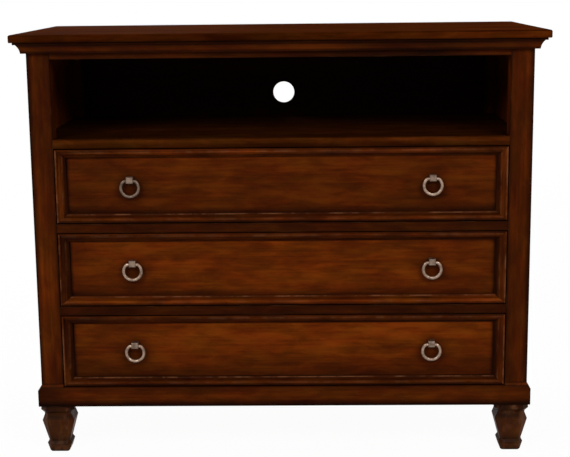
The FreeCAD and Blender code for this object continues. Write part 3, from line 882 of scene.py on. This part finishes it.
def softenEdges():
    group = smoothShading()
    for name, node in nodes.items():
        weld = node.modifiers.new("weld", "WELD")
        weld.merge_threshold = edgeSettings["weld"]
        flat = node.modifiers.new("flat", "DECIMATE")
        flat.decimate_type = "DISSOLVE"
        flat.angle_limit = math.radians(edgeSettings["flatAngle"])
        bevel = node.modifiers.new("bevel", "BEVEL")
        kind = "feet" if name.startswith("foot_") else "metal" if "pull" in name else "wood"
        bevel.width = edgeSettings[kind]
        bevel.segments = edgeSettings["segments"]
        bevel.limit_method = "ANGLE"
        bevel.angle_limit = math.radians(edgeSettings["angle"])
        bevel.use_clamp_overlap = True
        shade = node.modifiers.new("shade", "NODES")
        shade.node_group = group
        even = node.modifiers.new("even", "WEIGHTED_NORMAL")
        even.keep_sharp = True


softenEdges()
print("edges softened")


# Ring pulls: round wire with a straight top, slightly uneven from the hammer

ringSettings = {
    "radius": 0.021,
    "wire": 0.004,
    "bend": 0.0075,           # radius of the bends between ring and straight top
    "flatHalf": 0.01006,      # half of the straight top
    "around": 20,             # points round the wire
    "steps": 72,              # steps along the ring
    "bendSteps": 8,           # steps along each of these bends
    "uneven": 0.00022,
    "waves": 5,               # swells in the wire, each with its turns, start and strength
    "turns": (3, 9),
    "start": (0, 6.28),
    "strength": (0.4, 1.0),
    "twist": 1.7,
    "seedStep": 7,
}


def ringPath(flatRise):
    # points and outward directions along the wire: a bend, the ring and the other bend; the
    # straight top closes it
    radius, bend = ringSettings["radius"], ringSettings["bend"]
    flatHalf, steps = ringSettings["flatHalf"], ringSettings["steps"]
    bendSteps = ringSettings["bendSteps"]
    riseMiddle = flatRise - bend
    lean = math.atan2(riseMiddle, flatHalf)
    ring = []
    for k in range(steps + 1):
        angle = lean - (math.pi + 2 * lean) * k / steps
        ring.append((radius * math.cos(angle), radius * math.sin(angle), angle))
    right = []
    for k in range(1, bendSteps + 1):
        angle = lean + (math.pi / 2 - lean) * k / bendSteps
        x = flatHalf + bend * math.cos(angle)
        z = riseMiddle + bend * math.sin(angle)
        right.append((x, z, angle))
    left = [(-x, z, math.pi - angle) for x, z, angle in right]
    return right[::-1] + ring + left


def ringWaves(seed):
    shake = random.Random(seed).uniform
    return [(shake(*ringSettings["turns"]), shake(*ringSettings["start"]),
             shake(*ringSettings["strength"])) for k in range(ringSettings["waves"])]


def wireRadius(waves, along, turn):
    swell = sum(strength * math.sin(round(turns) * along + start + ringSettings["twist"] * turn)
                for turns, start, strength in waves) / ringSettings["waves"]
    return ringSettings["wire"] + ringSettings["uneven"] * (swell - 1.0)


def makeRing(name, seed):
    low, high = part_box(name)
    hinge = [j for j in frame["joints"] if j["name"] == name + "_swing"][0]["pos_m"]
    flatRise = hinge[2] - (low[2] + ringSettings["wire"] + ringSettings["radius"])
    centreX, centreZ = (low[0] + high[0]) / 2, hinge[2] - flatRise
    path, waves, around = ringPath(flatRise), ringWaves(seed), ringSettings["around"]
    count = len(path)
    points, faces = [], []
    for index, (x, z, angle) in enumerate(path):
        along = index / count * 2 * math.pi
        after = (index + 1) % count
        for k in range(around):
            turn = 2 * math.pi * k / around
            wire = wireRadius(waves, along, turn)
            out = wire * math.cos(turn)
            points.append((centreX + x + out * math.cos(angle), hinge[1] + wire * math.sin(turn),
                           centreZ + z + out * math.sin(angle)))
            beside = (k + 1) % around
            faces.append((index * around + k, after * around + k, after * around + beside,
                          index * around + beside))
    mesh = bpy.data.meshes.new(name + "_wire")
    mesh.from_pydata(points, [], faces)
    mesh.validate()
    mesh.shade_smooth()
    mesh.materials.append(nodes[name].data.materials[0])
    ring = bpy.data.objects.new(name + "_wire", mesh)
    bpy.context.scene.collection.objects.link(ring)
    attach(ring, name)
    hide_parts(name)


def makeRings():
    for number in (1, 2, 3):
        for side, word in ((-1, "left"), (1, "right")):
            makeRing("ring_%d_%s" % (number, word), number * ringSettings["seedStep"] + side)


makeRings()
print("rings made")


# Floor, lights and background

studio = {
    "floorSize": 60.0,
    "floorColour": (0.80, 0.80, 0.80),
    "floorRough": 0.9,
    "glow": (0.96, 1.0),      # share of white that the floor shows without shade, near and far
    "glowLimits": (1.2, 4.5),
    "worldLight": 0.14,
    "lights": {
        "left": {"place": (-1.9, -2.7, 2.6), "size": (1.5, 1.5), "power": 70.0},
        "right": {"place": (1.9, -2.7, 2.7), "size": (1.5, 1.5), "power": 70.0},
        "overhead": {"place": (0.1, 0.4, 3.4), "size": (2.0, 1.4), "power": 25.0},
        "back": {"place": (-1.2, 3.1, 2.0), "size": (1.8, 1.5), "power": 58.0},
        "besideLeft": {"place": (-3.3, 0.7, 1.3), "size": (1.2, 1.2), "power": 30.0},
        "besideRight": {"place": (3.3, 0.7, 1.3), "size": (1.2, 1.2), "power": 30.0},
    },
    "aim": (0.0, 0.0, 0.55),
}


def cameraSees(tree):
    rays = addNode(tree, "LightPath").outputs
    seen = calc(tree, "MAXIMUM", rays["Is Camera Ray"], rays["Is Glossy Ray"])
    return calc(tree, "MAXIMUM", seen, rays["Is Transmission Ray"])


def addFloor():
    half = studio["floorSize"] / 2
    corners = [(-half, -half, 0), (half, -half, 0), (half, half, 0), (-half, half, 0)]
    mesh = bpy.data.meshes.new("floor")
    mesh.from_pydata(corners, [], [(0, 1, 2, 3)])
    floor = bpy.data.objects.new("floor", mesh)
    bpy.context.scene.collection.objects.link(floor)
    material, tree, shader = newMaterial("floor.white")
    setInputs(tree, shader, {"Base Color": opaque(studio["floorColour"]),
                             "Roughness": studio["floorRough"], "Specular IOR Level": 0.0})
    glow = addNode(tree, "Emission", {"Color": white, "Strength": 1.0})
    away = addNode(tree, "VectorMath", {0: objectPlace(tree)}, operation="LENGTH").outputs["Value"]
    share = times(tree, cameraSees(tree),
                  between(tree, away, studio["glowLimits"], studio["glow"]))
    mixed = addNode(tree, "MixShader", {0: share, 1: shader.outputs[0], 2: glow.outputs[0]})
    tree.links.new(mixed.outputs[0], tree.nodes["Material Output"].inputs["Surface"])
    mesh.materials.append(material)


def addWorld():
    # the camera sees white, and the chest is lit by a share of it
    world = bpy.data.worlds.new("studio")
    bpy.context.scene.world = world
    world.use_nodes = True
    tree = world.node_tree
    strength = addNode(tree, "MapRange", {"Value": cameraSees(tree), "To Min": studio["worldLight"],
                                          "To Max": 1.0})
    setInputs(tree, tree.nodes["Background"], {"Color": white, "Strength": strength.outputs[0]})


def addLights():
    for name, sets in studio["lights"].items():
        lamp = bpy.data.lights.new(name, "AREA")
        lamp.shape = "RECTANGLE"
        lamp.size, lamp.size_y = sets["size"]
        lamp.energy = sets["power"]
        light = bpy.data.objects.new(name, lamp)
        light.location = sets["place"]
        toAim = Vector(studio["aim"]) - Vector(sets["place"])
        light.rotation_euler = toAim.to_track_quat("-Z", "Y").to_euler()
        bpy.context.scene.collection.objects.link(light)


addFloor()
addWorld()
addLights()
bpy.context.scene.view_settings.view_transform = "Standard"
print("studio set")
